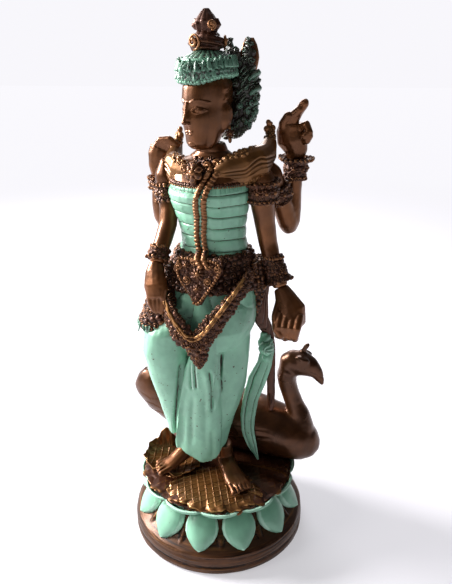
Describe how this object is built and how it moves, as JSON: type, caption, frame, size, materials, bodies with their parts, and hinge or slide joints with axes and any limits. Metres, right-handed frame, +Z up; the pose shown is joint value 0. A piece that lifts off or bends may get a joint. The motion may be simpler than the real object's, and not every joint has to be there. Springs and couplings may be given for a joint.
{
  "type": "deity statue",
  "caption": "Standing four-armed deity in a wrapped skirt and tall crown, a swan behind, on a round lotus pedestal.",
  "frame": {"origin": "centre of the pedestal's flat underside, on the surface it stands on", "axes": "+Z up; the figure faces -Y; its left hand and the swan's head are on the +X side"},
  "size_m": [0.1642, 0.141, 0.4],
  "materials": {
    "mint_paint": "aged satin paint",
    "bronze": "dark aged bronze, satin",
    "bronze_gold": "rubbed golden bronze, satin",
    "bronze_dark": "dark patinated bronze",
    "steel": "plain zinc steel"
  },
  "bodies": {
    "root": {"upper_petals": "mint_paint", "petal_01": "mint_paint", "petal_02": "mint_paint", "petal_03": "mint_paint", "petal_04": "mint_paint", "petal_05": "mint_paint", "petal_06": "mint_paint", "petal_07": "mint_paint", "petal_08": "mint_paint", "petal_09": "mint_paint", "petal_10": "mint_paint", "petal_11": "mint_paint", "petal_12": "mint_paint", "skirt": "mint_paint", "skirt_panel": "mint_paint", "sash": "mint_paint", "bodice": "mint_paint", "crown_band": "mint_paint", "crown_dome": "mint_paint", "plinth": "bronze", "swan_body": "bronze", "swan_neck": "bronze", "swan_head": "bronze", "left_foot": "bronze", "right_foot": "bronze", "torso": "bronze", "head": "bronze", "arm_front_left": "bronze", "arm_front_right": "bronze", "arm_rear_left": "bronze", "arm_rear_right": "bronze", "hand_front_left": "bronze", "hand_front_right": "bronze", "hand_rear_left": "bronze", "hand_rear_right": "bronze", "leaf_front": "bronze_gold", "leaf_left": "bronze_gold", "wing_left": "bronze_gold", "wing_right": "bronze_gold", "lotus_cup": "bronze_dark", "lotus_pad": "bronze_dark", "belt": "bronze_dark", "buckle": "bronze_dark", "hip_cloth_left": "bronze_dark", "hip_cloth_right": "bronze_dark", "hip_garland": "bronze_dark", "collar": "bronze_dark", "hair_ornament": "bronze_dark", "topknot": "bronze_dark", "armband_front_left": "bronze_dark", "armband_front_right": "bronze_dark", "armband_rear_left": "bronze_dark", "armband_rear_right": "bronze_dark", "bracelet_front_left": "bronze_dark", "bracelet_front_right": "bronze_dark", "bracelet_rear_left": "bronze_dark", "bracelet_rear_right": "bronze_dark", "fixing_stud": "steel", "fixing_nut": "steel", "swan_screw": "steel"}
  },
  "joints": []
}
